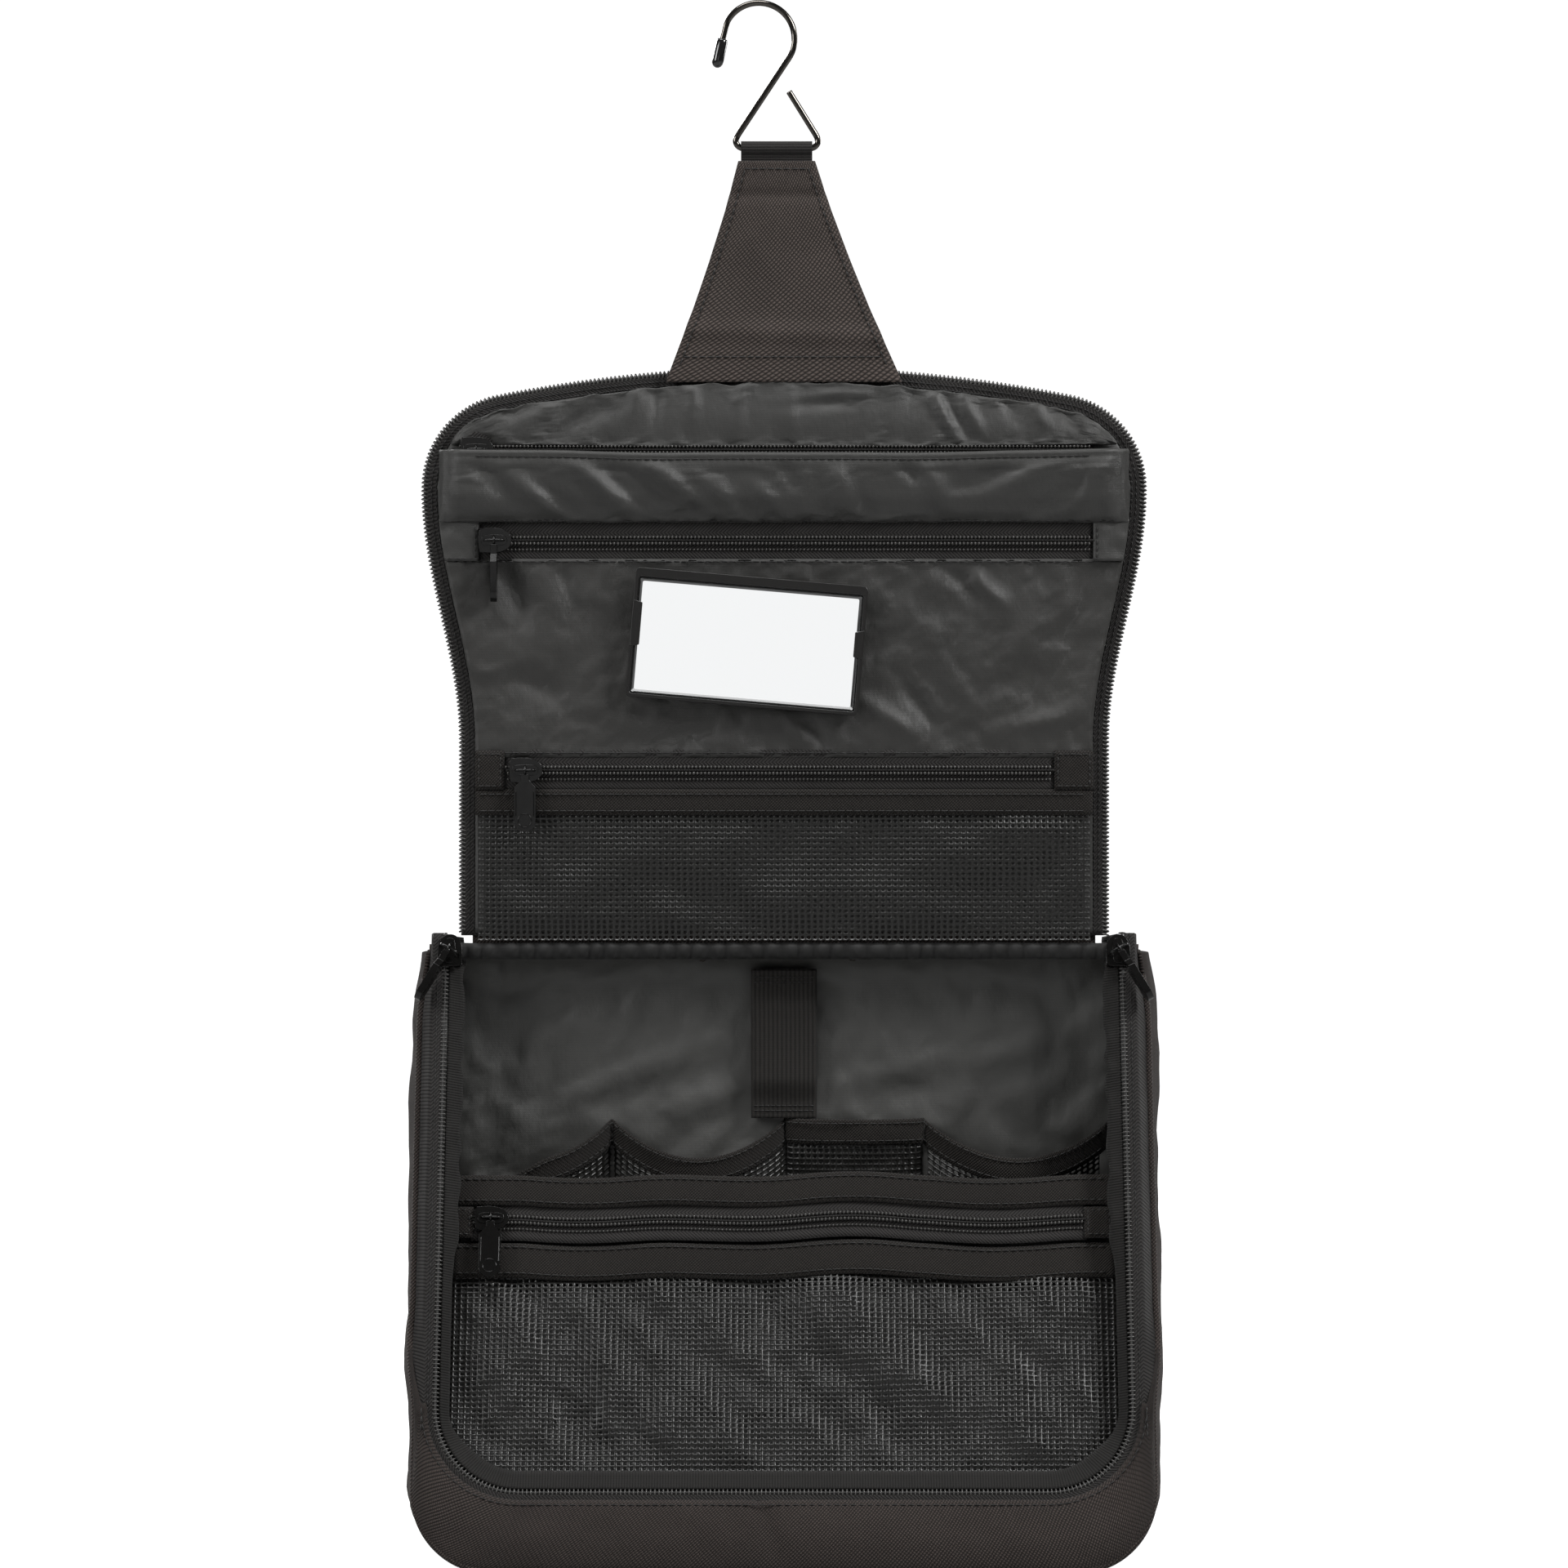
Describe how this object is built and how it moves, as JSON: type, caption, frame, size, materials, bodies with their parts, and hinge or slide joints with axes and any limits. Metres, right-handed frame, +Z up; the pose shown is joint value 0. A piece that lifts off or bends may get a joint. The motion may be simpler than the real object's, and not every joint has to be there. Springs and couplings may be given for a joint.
{
  "type": "hanging toiletry bag",
  "caption": "Unzipped hanging toiletry bag: wedge body with net pockets and bottle loops, zip-round lid with pockets and a lift-off mirror, tapered tab and swivelling wire hook.",
  "frame": {"origin": "centre of the flat base of the body", "axes": "+Z up towards the hook, -Y towards the viewer of the open bag, +X to that viewer's right"},
  "size_m": [0.253, 0.0935, 0.5239],
  "materials": {
    "outer_cloth": "woven, brown black",
    "satin": "satin",
    "webbing": "ribbed ribbon",
    "net": "open net",
    "zip_tape": "woven tape with nylon coil",
    "zip_coil": "nylon coil",
    "black_metal": "polished black nickel",
    "hook_metal": "polished black nickel wire",
    "soft_plastic": "gloss black",
    "frame_plastic": "satin black",
    "mirror_glass": "mirror"
  },
  "bodies": {
    "body": {"back_panel": "outer_cloth", "side_gusset_left": "outer_cloth", "side_gusset_right": "outer_cloth", "base_gusset": "outer_cloth", "front_border": "outer_cloth", "back_lining": "satin", "gusset_lining": "satin", "body_zip_tape": "zip_tape", "body_zip_coil": "zip_coil", "rim_binding": "webbing", "hinge_binding": "webbing", "elastic_strap": "webbing", "bottle_net": "net", "bottle_net_ribbon": "webbing", "wall_lining": "satin", "wall_net": "net", "wall_band": "webbing", "wall_header": "webbing", "wall_zip_upper": "zip_tape", "wall_zip_lower": "zip_tape", "wall_zip_tab_left": "satin", "wall_zip_tab_right": "satin"},
    "lid": {"lid_shell": "outer_cloth", "lid_lining": "satin", "lid_zip_tape": "zip_tape", "lid_zip_coil": "zip_coil", "lid_crown_panel": "satin", "lid_flap_panel": "satin", "lid_flap": "satin", "lid_mirror_panel": "satin", "lid_net_band": "webbing", "lid_net": "net", "top_zip_upper": "zip_tape", "top_zip_lower": "zip_tape", "upper_zip_upper": "zip_tape", "upper_zip_lower": "zip_tape", "net_zip_upper": "zip_tape", "net_zip_lower": "zip_tape", "net_zip_tab_left": "satin", "net_zip_tab_right": "satin", "mirror_patch_sewn": "webbing"},
    "tab": {"hanging_tab": "outer_cloth", "webbing_loop": "webbing"},
    "hook": {"hook_wire": "hook_metal", "hook_tip": "soft_plastic"},
    "mirror": {"mirror_frame": "frame_plastic", "mirror_plate": "mirror_glass", "mirror_patch_glued": "webbing"},
    "top_slider": {"top_slider": "black_metal"},
    "top_puller": {"top_puller": "black_metal"},
    "upper_slider": {"upper_slider": "black_metal"},
    "upper_puller": {"upper_puller": "black_metal"},
    "net_slider": {"net_slider": "black_metal"},
    "net_puller": {"net_puller": "black_metal"},
    "wall_slider": {"wall_slider": "black_metal"},
    "wall_puller": {"wall_puller": "black_metal"},
    "main_slider_left": {"main_slider_left": "black_metal"},
    "main_puller_left": {"main_puller_left": "black_metal"},
    "main_slider_right": {"main_slider_right": "black_metal"},
    "main_puller_right": {"main_puller_right": "black_metal"}
  },
  "joints": [
    {"name": "lid_hinge", "type": "hinge", "parent": "body", "child": "lid", "pos_m": [0, 0.0238, 0.203], "axis": [1, 0, 0], "range_deg": [-20, 158.5]},
    {"name": "tab_fold", "type": "hinge", "parent": "lid", "child": "tab", "pos_m": [0, 0.0226, 0.3955], "axis": [-1, 0, 0], "range_deg": [-150, 0]},
    {"name": "hook_swing", "type": "hinge", "parent": "tab", "child": "hook", "pos_m": [-0.0025, 0.0226, 0.4734], "axis": [1, 0, 0], "range_deg": [-150, 150]},
    {"name": "mirror_lift", "type": "slide", "parent": "lid", "child": "mirror", "axis": [0, 1, 0], "range_m": [-0.025, 0]},
    {"name": "top_zip_slide", "type": "slide", "parent": "lid", "child": "top_slider", "axis": [1, 0, 0], "range_m": [0, 0.203]},
    {"name": "top_puller_swing", "type": "hinge", "parent": "top_slider", "child": "top_puller", "pos_m": [-0.1044, 0.0179, 0.371], "axis": [1, 0, 0], "range_deg": [-3, 0]},
    {"name": "upper_zip_slide", "type": "slide", "parent": "lid", "child": "upper_slider", "axis": [1, 0, 0], "range_m": [0, 0.04]},
    {"name": "upper_puller_swing", "type": "hinge", "parent": "upper_slider", "child": "upper_puller", "pos_m": [-0.0983, 0.0179, 0.3402], "axis": [1, 0, 0], "range_deg": [-120, 0]},
    {"name": "net_zip_slide", "type": "slide", "parent": "lid", "child": "net_slider", "axis": [1, 0, 0], "range_m": [0, 0.174]},
    {"name": "net_puller_swing", "type": "hinge", "parent": "net_slider", "child": "net_puller", "pos_m": [-0.0878, 0.0179, 0.2622], "axis": [1, 0, 0], "range_deg": [-170, 0]},
    {"name": "wall_zip_slide", "type": "slide", "parent": "body", "child": "wall_slider", "axis": [1, 0, 0], "range_m": [0, 0.193]},
    {"name": "wall_puller_swing", "type": "hinge", "parent": "wall_slider", "child": "wall_puller", "pos_m": [-0.0984, 0.00062, 0.11236], "axis": [1, 0, 0], "range_deg": [-170, 0]},
    {"name": "main_zip_slide_right", "type": "slide", "parent": "body", "child": "main_slider_right", "axis": [0, 0.3243, 0.9459], "range_m": [-0.15, 0]},
    {"name": "main_puller_swing_right", "type": "hinge", "parent": "main_slider_right", "child": "main_puller_right", "pos_m": [0.1134, 0.01725, 0.20208], "axis": [0.866, 0.1622, 0.473], "range_deg": [-150, 0]},
    {"name": "main_zip_slide_left", "type": "slide", "parent": "body", "child": "main_slider_left", "axis": [0, 0.3243, 0.9459], "range_m": [-0.15, 0]},
    {"name": "main_puller_swing_left", "type": "hinge", "parent": "main_slider_left", "child": "main_puller_left", "pos_m": [-0.1134, 0.01725, 0.20208], "axis": [0.866, -0.1622, -0.473], "range_deg": [-150, 0]}
  ]
}
